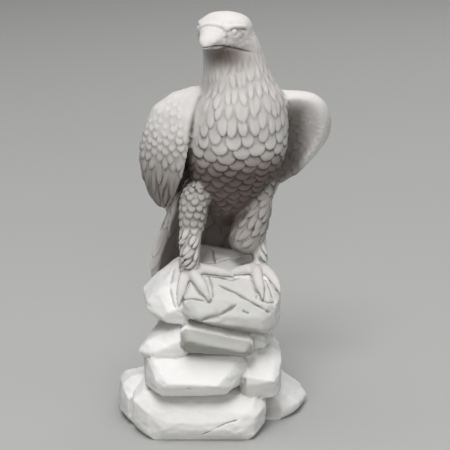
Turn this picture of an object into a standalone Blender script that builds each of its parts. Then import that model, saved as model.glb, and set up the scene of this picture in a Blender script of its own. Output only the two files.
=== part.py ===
"""A cast-stone garden statue of an eagle standing on a pile of rock slabs.

Metres, +Z up. The statue faces -Y, and its origin is the middle of its footprint.
The statue is one casting. Its named regions are parted here by cuts CUT wide.
"""
import math
import random

import bmesh
import bpy
from mathutils import Matrix, Vector
from mathutils.bvhtree import BVHTree

# ---------------------------------------------------------------- driving dimensions
CUT = 0.0003                       # width of the cut between two regions
BODY_TURN = math.radians(18)       # the breast faces a little to its left, towards +X
HEAD_TURN = math.radians(-30)      # the head looks back to its right, towards -X
HEAD_CENTRE = Vector((0.018, -0.015, 0.666))
NECK_CUT = Vector((0.036, 0, 0.588))   # a point on the cut between the trunk and the neck
NECK_CUT_SLOPE = -0.25                 # the cut dips towards the breast

BIRD_STONE = (0.78, 0.74, 0.70)
ROCK_STONE = (0.86, 0.85, 0.82)
STONE_ROUGHNESS = 0.88

UP = Vector((0, 0, 1))


# ---------------------------------------------------------------- scene and material
def clear_scene():
    """Removes what the startup file holds."""
    for obj in list(bpy.data.objects):
        bpy.data.objects.remove(obj)


def make_collection(name):
    """A new collection in the scene."""
    collection = bpy.data.collections.new(name)
    bpy.context.scene.collection.children.link(collection)
    return collection


def stone_material(name, colour):
    """Cast stone in one colour."""
    material = bpy.data.materials.new(name)
    material.use_nodes = True
    surface = material.node_tree.nodes["Principled BSDF"]
    surface.inputs["Base Color"].default_value = (*colour, 1.0)
    surface.inputs["Roughness"].default_value = STONE_ROUGHNESS
    surface.inputs["Metallic"].default_value = 0.0
    return material


clear_scene()
STATUE = make_collection("eagle_statue")


# ---------------------------------------------------------------- mesh helpers
def turned(forward, side, up, turn):
    """A point given along a forward, side and up axis, where forward is -Y turned about Z
    (a positive turn is towards +X)."""
    ahead = Vector((math.sin(turn), -math.cos(turn), 0))
    across = Vector((math.cos(turn), math.sin(turn), 0))
    return ahead * forward + across * side + UP * up


def on_head(forward, side, up):
    """A world point from one measured from the middle of the head."""
    return HEAD_CENTRE + turned(forward, side, up, HEAD_TURN)


def smooth_row(rows, t):
    """Catmull-Rom interpolation of equal-length number rows, t from 0 to 1 over all of them."""
    at = t * (len(rows) - 1)
    i = min(int(at), len(rows) - 2)
    f = at - i
    a, b, c, d = (rows[max(0, min(len(rows) - 1, i + k))] for k in (-1, 0, 1, 2))
    return [
        0.5 * (2 * q + (r - p) * f + (2 * p - 5 * q + 4 * r - s) * f * f + (3 * q - p - 3 * r + s) * f**3)
        for p, q, r, s in zip(a, b, c, d)
    ]


def bent(value, power):
    """A value's sign with its size raised to a power."""
    return math.copysign(abs(value) ** power, value)


def new_object(name, bm, smooth=True):
    """A closed mesh object with outward faces, in the statue's collection."""
    bmesh.ops.remove_doubles(bm, verts=bm.verts, dist=1e-6)
    bmesh.ops.triangulate(bm, faces=bm.faces)
    bmesh.ops.recalc_face_normals(bm, faces=bm.faces)
    mesh = bpy.data.meshes.new(name)
    bm.to_mesh(mesh)
    bm.free()
    mesh.polygons.foreach_set("use_smooth", [smooth] * len(mesh.polygons))
    obj = bpy.data.objects.new(name, mesh)
    STATUE.objects.link(obj)
    return obj


def skin_rings(rings):
    """A bmesh over rings of points, open at both ends, and its rings of vertices."""
    bm = bmesh.new()
    made = [[bm.verts.new(p) for p in ring] for ring in rings]
    count = len(made[0])
    for low, high in zip(made, made[1:]):
        for k in range(count):
            bm.faces.new((low[k], low[(k + 1) % count], high[(k + 1) % count], high[k]))
    return bm, made


def close_with_fan(bm, ring, pole):
    """Closes a round end with triangles to a pole."""
    tip = bm.verts.new(pole)
    for k in range(len(ring)):
        bm.faces.new((tip, ring[k], ring[(k + 1) % len(ring)]))


def close_with_strip(bm, ring):
    """Closes a thin end by joining its two long sides, which mirror each other."""
    count = len(ring)
    for k in range(count // 2):
        bm.faces.new(dict.fromkeys((ring[k], ring[k + 1], ring[-k - 1], ring[-k % count])))


def loft(name, stations, across, around=16, rings=10, dome=(0.7, 0.7), steps=2, power=1.0, grow=0.0):
    """A rounded body through stations (x, y, z, side, front, back): a centre and three radii.
    across is the direction of the side radius; each end closes in a dome of a few steps.
    A power below 1 makes the sections squarer than an ellipse."""
    sections = []
    samples = [smooth_row(stations, k / (rings - 1)) for k in range(rings)]
    centres = [Vector(row[:3]) for row in samples]
    for k, row in enumerate(samples):
        along = (centres[min(k + 1, rings - 1)] - centres[max(k - 1, 0)]).normalized()
        side = (across - along * across.dot(along)).normalized()
        sections.append((centres[k], along, side, side.cross(along), [r + grow for r in row[3:]]))

    def ring_at(section, shift=0.0, scale=1.0):
        centre, along, side, front, (wide, ahead, behind) = section
        points = []
        for k in range(around):
            angle = 2 * math.pi * k / around
            depth = ahead if math.sin(angle) > 0 else behind
            reach = side * wide * bent(math.cos(angle), power) + front * depth * bent(math.sin(angle), power)
            points.append(centre + along * shift + reach * scale)
        return points

    def dome_rings(section, height, direction):
        reach = (section[4][0] + section[4][1] + section[4][2]) / 3 * height * direction
        angles = [math.pi / 2 * (k + 1) / (steps + 0.7) for k in range(steps)]
        made = [ring_at(section, reach * math.sin(a), math.cos(a)) for a in angles]
        return made, section[0] + section[1] * reach

    start, first_pole = dome_rings(sections[0], dome[0], -1)
    end, last_pole = dome_rings(sections[-1], dome[1], 1)
    body = [ring_at(section) for section in sections]
    bm, made = skin_rings(start[::-1] + body + end)
    close_with_fan(bm, made[0], first_pole)
    close_with_fan(bm, made[-1], last_pole)
    return new_object(name, bm)


def shell(name, rows, around=20, rings=12, grow=0.0):
    """A wing-like plate through rows of
    (leading x, y, z, trailing x, y, z, bulge x, y, z, leading and trailing half thickness).
    Each section runs from the leading to the trailing edge, bowed by the bulge vector."""
    sections = []
    samples = [smooth_row(rows, k / (rings - 1)) for k in range(rings)]
    for row in samples:
        lead, trail, bulge = Vector(row[:3]), Vector(row[3:6]), Vector(row[6:9])
        thick_lead, thick_trail = row[9] + grow, row[10] + grow
        chord = trail - lead
        outward = (bulge - chord * bulge.dot(chord) / chord.length_squared).normalized()
        ring = []
        for k in range(around):
            angle = 2 * math.pi * k / around
            s = 0.5 - 0.5 * math.cos(angle)
            bow = bulge * 4 * s * (1 - s)
            thick = (thick_lead * (1 - s) + thick_trail * s) * abs(math.sin(angle)) ** 0.7
            sign = 1 if math.sin(angle) > 0 else -1
            ring.append(lead + chord * s + bow + outward * thick * sign)
        sections.append(ring)
    bm, made = skin_rings(sections)
    close_with_strip(bm, made[0])
    close_with_strip(bm, made[-1])
    return new_object(name, bm)


def box_between(low, high):
    """A bmesh box between two corners."""
    bm = bmesh.new()
    bmesh.ops.create_cube(bm, size=1)
    low, high = Vector(low), Vector(high)
    for v in bm.verts:
        v.co = Vector((low[i] + (high[i] - low[i]) * (v.co[i] + 0.5) for i in range(3)))
    return bm


def cut_away(bm, point, normal):
    """Removes what lies beyond a plane and closes the cut."""
    geometry = bm.verts[:] + bm.edges[:] + bm.faces[:]
    bmesh.ops.bisect_plane(bm, geom=geometry, plane_co=point, plane_no=normal, clear_outer=True)
    open_edges = [e for e in bm.edges if e.is_boundary]
    if open_edges:
        bmesh.ops.holes_fill(bm, edges=open_edges, sides=0)


def section_corners(row):
    """The eight corners of a chamfered upright section of a rock, from
    (y, left, right, bottom at the left and right, top at the left and right, chamfer)."""
    y, left, right, bottom_left, bottom_right, top_left, top_right, chamfer = row
    low = min(chamfer, (top_left - bottom_left) * 0.45, (top_right - bottom_right) * 0.45)
    return [
        Vector((left, y, bottom_left + low)), Vector((left + low, y, bottom_left)),
        Vector((right - low, y, bottom_right)), Vector((right, y, bottom_right + low)),
        Vector((right, y, top_right - low)), Vector((right - chamfer, y, top_right)),
        Vector((left + chamfer, y, top_left)), Vector((left, y, top_left - low)),
    ]


def rock(name, rows, roughness=0.002, seed=1, grow=0.0):
    """A convex, many-sided rock over a few upright sections, with its corners moved at random.
    It is rebuilt from its face planes, so grow moves each of them outwards by the same amount."""
    draw = random.Random(seed)
    corners = [corner for row in rows for corner in section_corners(row)]
    hull = bmesh.new()
    for corner in corners:
        moved = corner + Vector((draw.uniform(-1, 1), draw.uniform(-1, 1), draw.uniform(-1, 1))) * roughness
        hull.verts.new((moved.x, moved.y, moved.z if corner.z > 0 else 0.0))
    bmesh.ops.convex_hull(hull, input=hull.verts)
    bmesh.ops.recalc_face_normals(hull, faces=hull.faces)
    bmesh.ops.dissolve_limit(hull, angle_limit=math.radians(4), verts=hull.verts, edges=hull.edges)
    planes = [(face.calc_center_median(), face.normal.copy()) for face in hull.faces]
    hull.free()
    bm = box_between((-0.5, -0.5, -0.5), (0.5, 0.5, 0.9))
    for point, normal in planes:
        cut_away(bm, point + normal * grow, normal)
    cut_away(bm, Vector((0, 0, -grow)), Vector((0, 0, -1)))
    return new_object(name, bm, smooth=False)


# ---------------------------------------------------------------- joining and cutting
def apply_boolean(obj, other, operation):
    """Applies one exact Boolean and removes the other object."""
    modifier = obj.modifiers.new(operation, "BOOLEAN")
    modifier.operation = operation
    modifier.solver = "EXACT"
    modifier.object = other
    graph = bpy.context.evaluated_depsgraph_get()
    mesh = bpy.data.meshes.new_from_object(obj.evaluated_get(graph))
    obj.modifiers.remove(modifier)
    obj.data = mesh
    bpy.data.objects.remove(other)


def keep_largest(obj):
    """Drops loose scraps that a cut left behind and merges its flat faces."""
    bm = bmesh.new()
    bm.from_mesh(obj.data)
    bmesh.ops.remove_doubles(bm, verts=bm.verts, dist=2e-6)
    bmesh.ops.dissolve_degenerate(bm, edges=bm.edges, dist=2e-6)
    left = set(bm.faces)
    islands = []
    while left:
        front = [left.pop()]
        island = list(front)
        while front:
            face = front.pop()
            for edge in face.edges:
                for near in edge.link_faces:
                    if near in left:
                        left.remove(near)
                        front.append(near)
                        island.append(near)
        islands.append(island)
    islands.sort(key=lambda faces: -sum(f.calc_area() for f in faces))
    for island in islands[1:]:
        bmesh.ops.delete(bm, geom=island, context="FACES")
    loose = [v for v in bm.verts if not v.link_faces]
    bmesh.ops.delete(bm, geom=loose, context="VERTS")
    bmesh.ops.dissolve_limit(bm, angle_limit=math.radians(0.2), verts=bm.verts, edges=bm.edges)
    bmesh.ops.triangulate(bm, faces=bm.faces)
    bm.to_mesh(obj.data)
    bm.free()


def part_by_plane(obj, point, normal, name_beyond):
    """Parts obj at a plane into itself and a new object beyond it, with a cut between them."""
    beyond = obj.copy()
    beyond.data = obj.data.copy()
    beyond.name = name_beyond
    beyond.data.name = name_beyond
    STATUE.objects.link(beyond)
    normal = normal.normalized()
    for piece, direction in ((obj, normal), (beyond, -normal)):
        bm = bmesh.new()
        bm.from_mesh(piece.data)
        cut_away(bm, point - direction * CUT / 2, direction)
        bmesh.ops.triangulate(bm, faces=bm.faces)
        bm.to_mesh(piece.data)
        bm.free()
    return beyond


class Form:
    """A shape that can be made at its own size, or grown by the width of a cut as a cutter."""

    def __init__(self, maker, name, *args, **settings):
        self.maker, self.name, self.args, self.settings = maker, name, args, settings

    def make(self):
        return self.maker(self.name, *self.args, **self.settings)

    def cutter(self):
        return self.maker("cutter_" + self.name, *self.args, grow=CUT, **self.settings)


def tree_of(obj):
    """A search tree over an object's faces."""
    mesh = obj.data
    return BVHTree.FromPolygons([v.co for v in mesh.vertices], [p.vertices for p in mesh.polygons])


def build_in_order(forms):
    """Makes each form in turn, and cuts from it every earlier form that it meets."""
    made = []
    for form in forms:
        obj = form.make()
        for earlier in made:
            cutter = earlier.cutter()
            if tree_of(obj).overlap(tree_of(cutter)):
                apply_boolean(obj, cutter, "DIFFERENCE")
                keep_largest(obj)
            else:
                bpy.data.objects.remove(cutter)
        made.append(form)


# ---------------------------------------------------------------- rocks, perch downwards
# Sections of each rock from front to back:
# y, left, right, bottom at the left and right, top at the left and right, chamfer.
ROCKS = {
    "rock_perch": [
        (-0.119, -0.030, 0.080, 0.206, 0.192, 0.216, 0.208, 0.005),
        (-0.102, -0.052, 0.100, 0.200, 0.178, 0.242, 0.232, 0.012),
        (-0.072, -0.058, 0.108, 0.194, 0.161, 0.272, 0.262, 0.022),
        (0.050, -0.060, 0.098, 0.180, 0.168, 0.281, 0.264, 0.028),
        (0.078, -0.045, 0.080, 0.186, 0.178, 0.272, 0.252, 0.022),
    ],
    "rock_shoulder": [
        (-0.096, -0.086, -0.040, 0.194, 0.190, 0.214, 0.226, 0.008),
        (-0.068, -0.112, -0.040, 0.190, 0.186, 0.238, 0.258, 0.018),
        (-0.010, -0.123, -0.040, 0.192, 0.186, 0.249, 0.274, 0.024),
        (0.045, -0.110, -0.040, 0.198, 0.190, 0.238, 0.262, 0.022),
        (0.066, -0.090, -0.045, 0.208, 0.200, 0.226, 0.244, 0.012),
    ],
    "slab_upper_front": [
        (-0.131, -0.044, 0.050, 0.170, 0.152, 0.177, 0.158, 0.003),
        (-0.114, -0.055, 0.061, 0.152, 0.142, 0.189, 0.168, 0.006),
        (-0.060, -0.056, 0.062, 0.148, 0.140, 0.196, 0.178, 0.010),
        (0.000, -0.050, 0.056, 0.148, 0.142, 0.192, 0.178, 0.010),
    ],
    "slab_upper_left": [
        (-0.110, -0.098, -0.040, 0.134, 0.144, 0.150, 0.170, 0.005),
        (-0.086, -0.128, -0.040, 0.124, 0.140, 0.154, 0.188, 0.013),
        (-0.030, -0.114, -0.040, 0.124, 0.136, 0.166, 0.194, 0.018),
        (0.040, -0.098, -0.040, 0.124, 0.136, 0.162, 0.190, 0.016),
        (0.062, -0.082, -0.045, 0.132, 0.140, 0.152, 0.172, 0.010),
    ],
    "slab_upper_right": [
        (-0.088, 0.054, 0.084, 0.144, 0.144, 0.172, 0.164, 0.006),
        (-0.062, 0.050, 0.094, 0.138, 0.138, 0.182, 0.170, 0.012),
        (0.030, 0.045, 0.096, 0.138, 0.138, 0.182, 0.170, 0.014),
        (0.064, 0.050, 0.084, 0.146, 0.146, 0.172, 0.162, 0.010),
    ],
    "slab_front": [
        (-0.148, -0.082, 0.006, 0.097, 0.097, 0.105, 0.105, 0.003),
        (-0.134, -0.098, 0.026, 0.079, 0.082, 0.118, 0.116, 0.010),
        (-0.104, -0.114, 0.054, 0.076, 0.084, 0.140, 0.136, 0.012),
        (-0.030, -0.122, 0.058, 0.080, 0.084, 0.144, 0.140, 0.012),
        (0.044, -0.104, 0.050, 0.084, 0.088, 0.140, 0.136, 0.012),
    ],
    "rock_middle_right": [
        (-0.120, 0.050, 0.098, 0.094, 0.092, 0.106, 0.100, 0.005),
        (-0.102, 0.043, 0.108, 0.058, 0.062, 0.120, 0.110, 0.010),
        (-0.058, 0.043, 0.113, 0.050, 0.052, 0.142, 0.132, 0.010),
        (0.034, 0.045, 0.110, 0.050, 0.050, 0.142, 0.122, 0.016),
        (0.064, 0.050, 0.096, 0.060, 0.060, 0.134, 0.122, 0.014),
    ],
    "slab_base_front": [
        (-0.147, -0.084, 0.044, 0.018, 0.016, 0.034, 0.030, 0.006),
        (-0.136, -0.112, 0.066, 0.000, 0.000, 0.056, 0.050, 0.010),
        (-0.106, -0.138, 0.084, 0.000, 0.000, 0.074, 0.066, 0.016),
        (-0.050, -0.138, 0.086, 0.000, 0.000, 0.082, 0.076, 0.018),
        (0.026, -0.120, 0.080, 0.000, 0.000, 0.082, 0.076, 0.018),
    ],
    "rock_base_left": [
        (-0.082, -0.146, -0.090, 0.000, 0.000, 0.062, 0.072, 0.014),
        (-0.055, -0.160, -0.090, 0.000, 0.000, 0.080, 0.088, 0.016),
        (0.010, -0.168, -0.090, 0.000, 0.000, 0.062, 0.070, 0.012),
        (0.060, -0.161, -0.090, 0.000, 0.000, 0.042, 0.050, 0.010),
        (0.084, -0.144, -0.090, 0.000, 0.000, 0.034, 0.042, 0.010),
    ],
    "rock_base_right": [
        (-0.058, 0.070, 0.118, 0.000, 0.000, 0.066, 0.030, 0.010),
        (-0.036, 0.070, 0.144, 0.000, 0.000, 0.078, 0.034, 0.012),
        (0.010, 0.070, 0.160, 0.000, 0.000, 0.078, 0.024, 0.008),
        (0.056, 0.070, 0.154, 0.000, 0.000, 0.068, 0.022, 0.008),
        (0.082, 0.075, 0.132, 0.000, 0.000, 0.060, 0.024, 0.010),
    ],
    "rock_base_back": [
        (0.020, -0.100, 0.096, 0.000, 0.000, 0.100, 0.096, 0.014),
        (0.098, -0.104, 0.100, 0.000, 0.000, 0.098, 0.092, 0.018),
        (0.122, -0.086, 0.080, 0.000, 0.000, 0.078, 0.070, 0.014),
    ],
    "rock_back_middle": [
        (0.020, -0.094, 0.090, 0.084, 0.084, 0.184, 0.174, 0.014),
        (0.086, -0.096, 0.088, 0.088, 0.088, 0.182, 0.172, 0.018),
        (0.106, -0.078, 0.070, 0.100, 0.100, 0.166, 0.158, 0.014),
    ],
    "rock_back_upper": [
        (0.050, -0.100, 0.072, 0.164, 0.164, 0.236, 0.218, 0.014),
        (0.088, -0.096, 0.066, 0.168, 0.168, 0.222, 0.206, 0.016),
        (0.100, -0.078, 0.052, 0.176, 0.176, 0.206, 0.194, 0.010),
    ],
    "rock_core": [
        (-0.095, -0.080, 0.060, 0.000, 0.000, 0.110, 0.110, 0.010),
        (-0.060, -0.092, 0.080, 0.000, 0.000, 0.170, 0.170, 0.010),
        (0.030, -0.096, 0.085, 0.000, 0.000, 0.176, 0.176, 0.010),
        (0.080, -0.088, 0.080, 0.000, 0.000, 0.176, 0.176, 0.010),
    ],
}


def rock_forms():
    return [Form(rock, name, rows, seed=k) for k, (name, rows) in enumerate(ROCKS.items())]


# ---------------------------------------------------------------- the bird's forms
SIDE = turned(0, 1, 0, BODY_TURN)
HEAD_SIDE = turned(0, 1, 0, HEAD_TURN)

# The trunk and neck, from vent to throat: centre, then half width, breast and back radii.
TRUNK = [
    (0.014, 0.014, 0.342, 0.020, 0.020, 0.024),
    (0.017, 0.010, 0.365, 0.037, 0.038, 0.042),
    (0.021, 0.007, 0.395, 0.059, 0.054, 0.056),
    (0.024, 0.003, 0.425, 0.074, 0.068, 0.064),
    (0.031, 0.000, 0.465, 0.081, 0.082, 0.070),
    (0.036, -0.003, 0.505, 0.084, 0.088, 0.070),
    (0.038, -0.004, 0.545, 0.078, 0.080, 0.066),
    (0.037, -0.004, 0.562, 0.0715, 0.074, 0.063),
    (0.036, -0.004, 0.577, 0.0610, 0.066, 0.059),
    (0.033, -0.005, 0.598, 0.0535, 0.059, 0.054),
    (0.029, -0.008, 0.625, 0.0485, 0.051, 0.050),
    (0.024, -0.010, 0.650, 0.0440, 0.044, 0.046),
]

# Head and bill, back to front: distance ahead, rise, half width, depth below, height above.
HEAD = [
    (-0.040, 0.000, 0.026, 0.026, 0.020),
    (-0.022, 0.000, 0.0385, 0.034, 0.030),
    (0.000, 0.000, 0.0445, 0.036, 0.034),
    (0.018, 0.000, 0.0425, 0.030, 0.0320),
    (0.032, -0.001, 0.0360, 0.022, 0.026),
    (0.040, -0.003, 0.0275, 0.017, 0.020),
]
BILL_UPPER = [
    (0.030, 0.000, 0.0225, 0.0110, 0.0175),
    (0.044, -0.001, 0.0220, 0.0110, 0.0160),
    (0.056, -0.003, 0.0185, 0.0090, 0.0100),
    (0.0655, -0.008, 0.0120, 0.0065, 0.0070),
    (0.0690, -0.013, 0.0050, 0.0035, 0.0040),
]
BILL_LOWER = [
    (0.010, -0.024, 0.0310, 0.0060, 0.0060),
    (0.034, -0.0165, 0.0225, 0.0045, 0.0040),
    (0.050, -0.0150, 0.0165, 0.0035, 0.0030),
    (0.060, -0.0150, 0.0085, 0.0025, 0.0020),
]
EYE_PLACE = (0.030, 0.0315, 0.0090)       # ahead, to the side, up
EYE_RADIUS = 0.0060
# The brow ridge, front to back: ahead, to the side, up.
BROW = [(0.037, 0.0215, 0.0155), (0.030, 0.0305, 0.0160), (0.018, 0.0370, 0.0165), (0.002, 0.0400, 0.0140)]
BROW_RADII = (0.0035, 0.0048, 0.0046, 0.0030)


def along_head(shape):
    """Stations in world axes from rows measured along the head."""
    return [(*on_head(ahead, 0, rise), *radii) for ahead, rise, *radii in shape]


def head(name, grow=0.0):
    """The head with its two brow ridges."""
    obj = loft(name, along_head(HEAD), HEAD_SIDE, around=20, rings=8, power=0.80, grow=grow)
    for side in (-1, 1):
        path = [on_head(ahead, side * out, rise) for ahead, out, rise in BROW]
        stations = [(*point, r, r, r) for point, r in zip(path, BROW_RADII)]
        brow = loft("brow", stations, UP, around=7, rings=5, steps=1, grow=grow)
        apply_boolean(obj, brow, "UNION")
    return obj


def eye(name, side, grow=0.0):
    """An eyeball set in the side of the head."""
    bm = bmesh.new()
    ahead, out, rise = EYE_PLACE
    place = Matrix.Translation(on_head(ahead, side * out, rise))
    bmesh.ops.create_uvsphere(bm, u_segments=10, v_segments=6, radius=EYE_RADIUS + grow, matrix=place)
    return new_object(name, bm)


# Wings, shoulder to tip: leading edge, trailing edge, outward bulge, half thicknesses.
WING_RIGHT = [
    (-0.010, -0.030, 0.560, -0.006, 0.034, 0.552, -0.018, 0.000, 0.013, 0.010, 0.008),
    (-0.028, -0.048, 0.540, -0.020, 0.056, 0.538, -0.056, 0.000, 0.010, 0.014, 0.010),
    (-0.036, -0.057, 0.505, -0.024, 0.064, 0.496, -0.075, 0.000, 0.006, 0.016, 0.010),
    (-0.045, -0.056, 0.462, -0.028, 0.068, 0.450, -0.079, 0.002, 0.000, 0.016, 0.009),
    (-0.056, -0.045, 0.420, -0.036, 0.072, 0.408, -0.066, 0.002, 0.000, 0.014, 0.008),
    (-0.068, -0.020, 0.384, -0.052, 0.080, 0.372, -0.042, 0.000, 0.000, 0.010, 0.007),
    (-0.082, 0.016, 0.358, -0.072, 0.080, 0.352, -0.015, 0.000, 0.000, 0.006, 0.005),
]
WING_LEFT = [
    (0.085, -0.006, 0.552, 0.056, 0.050, 0.522, 0.004, 0.004, 0.007, 0.022, 0.010),
    (0.121, -0.008, 0.561, 0.060, 0.068, 0.490, 0.009, 0.008, 0.008, 0.029, 0.010),
    (0.158, -0.006, 0.559, 0.062, 0.078, 0.452, 0.015, 0.015, 0.008, 0.034, 0.010),
    (0.185, 0.000, 0.533, 0.062, 0.083, 0.418, 0.021, 0.024, 0.004, 0.033, 0.010),
    (0.186, 0.010, 0.488, 0.062, 0.086, 0.392, 0.020, 0.023, 0.000, 0.032, 0.009),
    (0.162, 0.026, 0.445, 0.062, 0.089, 0.370, 0.015, 0.018, 0.000, 0.027, 0.008),
    (0.139, 0.046, 0.410, 0.066, 0.094, 0.356, 0.008, 0.010, 0.000, 0.018, 0.007),
]
# The long flight feathers, from the wing down to the tail: centre, half width, half thicknesses.
FLIGHT_RIGHT = [
    (-0.084, 0.030, 0.474, 0.016, 0.006, 0.006),
    (-0.090, 0.052, 0.432, 0.026, 0.010, 0.010),
    (-0.078, 0.082, 0.376, 0.032, 0.009, 0.009),
    (-0.056, 0.104, 0.318, 0.026, 0.007, 0.007),
    (-0.036, 0.122, 0.268, 0.014, 0.005, 0.005),
]
FLIGHT_LEFT = [
    (0.110, 0.056, 0.474, 0.016, 0.006, 0.006),
    (0.108, 0.080, 0.432, 0.028, 0.010, 0.010),
    (0.086, 0.098, 0.378, 0.032, 0.009, 0.009),
    (0.058, 0.112, 0.320, 0.026, 0.007, 0.007),
    (0.034, 0.124, 0.268, 0.014, 0.005, 0.005),
]
TAIL = [
    (-0.026, 0.044, 0.432, 0.048, 0.048, 0.432, 0.000, 0.008, 0.000, 0.008, 0.008),
    (-0.058, 0.052, 0.388, 0.070, 0.060, 0.388, 0.000, 0.024, 0.000, 0.016, 0.010),
    (-0.078, 0.058, 0.343, 0.060, 0.080, 0.340, 0.000, 0.032, 0.000, 0.015, 0.009),
    (-0.099, 0.066, 0.307, 0.050, 0.092, 0.300, 0.002, 0.036, 0.000, 0.014, 0.008),
    (-0.112, 0.076, 0.267, 0.040, 0.102, 0.262, 0.002, 0.034, 0.000, 0.013, 0.008),
    (-0.118, 0.086, 0.226, 0.030, 0.112, 0.225, 0.002, 0.028, 0.000, 0.012, 0.007),
    (-0.117, 0.094, 0.200, 0.022, 0.120, 0.200, 0.002, 0.020, 0.000, 0.009, 0.006),
]
# Legs, top to bottom: centre, then half width, front and back radii.
THIGH_RIGHT = [
    (-0.030, -0.038, 0.404, 0.0225, 0.024, 0.026),
    (-0.034, -0.046, 0.390, 0.0248, 0.026, 0.026),
    (-0.036, -0.052, 0.369, 0.0238, 0.024, 0.024),
    (-0.039, -0.058, 0.350, 0.0210, 0.021, 0.021),
]
SHANK_RIGHT = [
    (-0.039, -0.059, 0.346, 0.0200, 0.020, 0.020),
    (-0.041, -0.064, 0.320, 0.0180, 0.018, 0.018),
    (-0.040, -0.067, 0.292, 0.0160, 0.016, 0.016),
]
THIGH_LEFT = [
    (0.084, 0.006, 0.428, 0.014, 0.020, 0.026),
    (0.080, -0.008, 0.392, 0.016, 0.026, 0.030),
    (0.064, -0.022, 0.348, 0.028, 0.034, 0.030),
    (0.049, -0.028, 0.312, 0.0275, 0.030, 0.026),
]
SHANK_LEFT = [
    (0.074, -0.012, 0.345, 0.014, 0.016, 0.016),
    (0.073, -0.026, 0.312, 0.0125, 0.013, 0.013),
    (0.075, -0.034, 0.284, 0.0135, 0.013, 0.013),
]

# Toes, ankle to tip: x and y. They are laid on the perch.
TOES = {
    "right": {
        "outer": [(-0.046, -0.066), (-0.051, -0.077), (-0.055, -0.087)],
        "middle": [(-0.036, -0.068), (-0.026, -0.084), (-0.018, -0.094)],
        "inner": [(-0.030, -0.062), (-0.006, -0.064), (0.015, -0.068)],
        "hind": [(-0.041, -0.056), (-0.044, -0.036), (-0.046, -0.022)],
    },
    "left": {
        "outer": [(0.082, -0.040), (0.092, -0.056), (0.099, -0.070)],
        "middle": [(0.068, -0.046), (0.069, -0.068), (0.075, -0.086)],
        "inner": [(0.064, -0.044), (0.048, -0.052), (0.034, -0.060)],
        "hind": [(0.076, -0.028), (0.077, -0.008), (0.077, 0.006)],
    },
}
TOE_RADII = (0.0110, 0.0095, 0.0080)
CLAW_LENGTH = 0.014


def perch_surface():
    """The perch's whole surface, before the feet are cut from it."""
    perch = rock("perch_surface", ROCKS["rock_perch"], seed=0)
    tree = tree_of(perch)
    bpy.data.objects.remove(perch)
    return tree


PERCH = perch_surface()


def laid_on_perch(x, y, rise):
    """The point above the perch at x, y, by the height rise."""
    hit = PERCH.ray_cast(Vector((x, y, 1)), Vector((0, 0, -1)))
    if not hit[0]:
        hit = PERCH.find_nearest(Vector((x, y, 0.24)))
    return hit[0] + hit[1] * rise


def toe(name, path, grow=0.0):
    """A toe: thick at the ankle, thinner at the claw, half sunk in the perch."""
    points = [laid_on_perch(x, y, radius * 0.45) for (x, y), radius in zip(path, TOE_RADII)]
    stations = [(*point, radius, radius, radius) for point, radius in zip(points, TOE_RADII)]
    across = UP.cross(points[-1] - points[0])
    return loft(name, stations, across, around=8, rings=4, dome=(0.8, 0.8), steps=1, grow=grow)


def claw(name, path, grow=0.0):
    """A hooked claw that goes on from the toe's tip and bends down."""
    knuckle, tip = (laid_on_perch(x, y, r * 0.45) for (x, y), r in zip(path[1:], TOE_RADII[1:]))
    run = (tip - knuckle).normalized()
    start = tip + run * TOE_RADII[-1] * 0.5
    middle = start + run * CLAW_LENGTH * 0.4
    end = middle + (run - UP * 0.6).normalized() * CLAW_LENGTH * 0.6
    radii = (0.0056, 0.0044, 0.0022)
    stations = [(*point, r, r, r) for point, r in zip((start, middle, end), radii)]
    return loft(name, stations, UP.cross(run), around=6, rings=3, dome=(0.5, 0.8), steps=1, grow=grow)


def body_forms():
    """The bird without its feet, in the order in which each is cut by the ones before."""
    forms = [
        Form(eye, "eye_right", -1),
        Form(eye, "eye_left", 1),
        Form(head, "head"),
        Form(loft, "bill_upper", along_head(BILL_UPPER), HEAD_SIDE, around=14, rings=7, dome=(0.3, 0.8)),
        Form(loft, "bill_lower", along_head(BILL_LOWER), HEAD_SIDE, around=10, rings=4, steps=1),
        Form(loft, "trunk", TRUNK, SIDE, around=20, rings=13, power=0.86),
        Form(shell, "wing_right", WING_RIGHT, around=20, rings=10),
        Form(shell, "wing_left", WING_LEFT, around=20, rings=10),
        Form(shell, "tail", TAIL, around=16, rings=6),
        Form(loft, "flight_right", FLIGHT_RIGHT, Vector((0.68, 0.73, 0)), around=12, rings=5),
        Form(loft, "flight_left", FLIGHT_LEFT, Vector((-0.68, 0.73, 0)), around=12, rings=5),
    ]
    for side, thigh, shank in (("right", THIGH_RIGHT, SHANK_RIGHT), ("left", THIGH_LEFT, SHANK_LEFT)):
        forms.append(Form(loft, f"thigh_{side}", thigh, SIDE, around=14, rings=5))
        forms.append(Form(loft, f"shank_{side}", shank, SIDE, around=12, rings=3))
    return forms


def foot_forms():
    """The toes and claws, which are cut where they sink into the perch."""
    forms = []
    for side, toes in TOES.items():
        forms += [Form(toe, f"toe_{side}_{name}", path) for name, path in toes.items()]
        forms += [Form(claw, f"claw_{side}_{name}", path) for name, path in toes.items()]
    return forms


# ---------------------------------------------------------------- build
def stand_on_origin():
    """Moves every piece so that the origin is the middle of the footprint, on the floor."""
    corners = [v.co for obj in STATUE.objects for v in obj.data.vertices]
    low = Vector((min(c[i] for c in corners) for i in range(3)))
    high = Vector((max(c[i] for c in corners) for i in range(3)))
    shift = Matrix.Translation(-Vector(((low.x + high.x) / 2, (low.y + high.y) / 2, low.z)))
    for obj in STATUE.objects:
        obj.data.transform(shift)


def give_materials():
    """A stone material of its own for each piece: warm grey on the bird, paler on the rocks."""
    for obj in STATUE.objects:
        colour = ROCK_STONE if obj.name in ROCKS else BIRD_STONE
        obj.data.materials.clear()
        obj.data.materials.append(stone_material("stone_" + obj.name, colour))


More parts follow.
